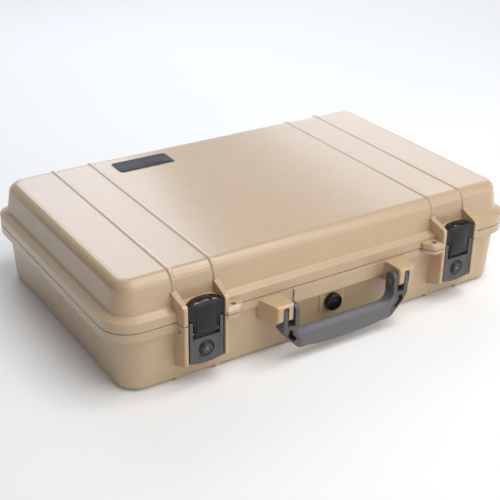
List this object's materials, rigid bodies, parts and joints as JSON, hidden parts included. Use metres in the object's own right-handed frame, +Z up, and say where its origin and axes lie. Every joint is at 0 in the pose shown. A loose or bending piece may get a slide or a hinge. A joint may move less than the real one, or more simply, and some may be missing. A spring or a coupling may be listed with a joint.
{
  "type": "laptop hard case",
  "caption": "Moulded hard case for a laptop, with a rear-hinged lid, locking draw latches at the front, a swing handle, a pressure valve and foam inside.",
  "frame": {"origin": "middle of the bounding box on the floor plane, case lying flat and closed", "axes": "+X along the case to the viewer's right from the handle side, -Y towards the handle side, +Z up through the lid"},
  "size_m": [0.505, 0.354, 0.119],
  "materials": {
    "shell": "satin, finely textured",
    "hook": "gloss black",
    "frame": "satin dark grey",
    "grip": "satin grey",
    "lock": "satin dark coating",
    "core": "dark plated",
    "pin": "satin",
    "seal": "matte",
    "foam": "open-cell foam"
  },
  "bodies": {
    "base": {"base_shell": "shell", "hinge_pin_left": "pin", "hinge_pin_right": "pin", "latch_pin_left": "pin", "latch_pin_right": "pin", "handle_pin_left": "pin", "handle_pin_right": "pin", "valve_body": "hook", "valve_nut": "hook", "valve_seal": "seal", "foam_base": "foam", "base_tab_left": "shell", "base_tab_right": "shell"},
    "lid": {"lid_shell": "shell", "lid_gasket": "seal", "foam_lid": "foam", "lid_tab_left": "shell", "lid_tab_right": "shell"},
    "lever_left": {"latch_lever_left": "frame", "hook_pin_left": "pin", "lock_body_left": "lock"},
    "lever_right": {"latch_lever_right": "frame", "hook_pin_right": "pin", "lock_body_right": "lock"},
    "hook_left": {"latch_hook_left": "hook"},
    "hook_right": {"latch_hook_right": "hook"},
    "lock_left": {"lock_core_left": "core", "lock_cam_left": "core"},
    "lock_right": {"lock_core_right": "core", "lock_cam_right": "core"},
    "knob": {"valve_knob": "hook"},
    "handle": {"handle_frame": "frame", "handle_grip": "grip"}
  },
  "joints": [
    {"name": "lid_hinge", "type": "hinge", "parent": "base", "child": "lid", "pos_m": [0, 0.1705, 0.071], "axis": [-1, 0, 0], "range_deg": [0, 105]},
    {"name": "latch_left", "type": "hinge", "parent": "base", "child": "lever_left", "pos_m": [-0.1603, -0.1571, 0.063], "axis": [-1, 0, 0], "range_deg": [0, 45]},
    {"name": "latch_right", "type": "hinge", "parent": "base", "child": "lever_right", "pos_m": [0.1603, -0.1571, 0.063], "axis": [-1, 0, 0], "range_deg": [0, 45]},
    {"name": "hook_fold_left", "type": "hinge", "parent": "lever_left", "child": "hook_left", "pos_m": [-0.1603, -0.161, 0.0588], "axis": [-1, 0, 0], "range_deg": [-61, 0]},
    {"name": "hook_fold_right", "type": "hinge", "parent": "lever_right", "child": "hook_right", "pos_m": [0.1603, -0.161, 0.0588], "axis": [-1, 0, 0], "range_deg": [-61, 0]},
    {"name": "lock_turn_left", "type": "hinge", "parent": "lever_left", "child": "lock_left", "pos_m": [-0.1603, -0.16, 0.04085], "axis": [0, 1, 0], "range_deg": [0, 90]},
    {"name": "lock_turn_right", "type": "hinge", "parent": "lever_right", "child": "lock_right", "pos_m": [0.1603, -0.16, 0.04085], "axis": [0, -1, 0], "range_deg": [0, 90]},
    {"name": "handle_swing", "type": "hinge", "parent": "base", "child": "handle", "pos_m": [0, -0.1698, 0.0538], "axis": [-1, 0, 0], "range_deg": [0, 95]},
    {"name": "valve_turn", "type": "hinge", "parent": "base", "child": "knob", "pos_m": [0, -0.15, 0.0384], "axis": [0, -1, 0], "range_deg": [0, 360]}
  ],
  "couplings": [
    {"joint": "hook_fold_left", "follows": "latch_left", "ratio": -1.35},
    {"joint": "hook_fold_right", "follows": "latch_right", "ratio": -1.35}
  ]
}
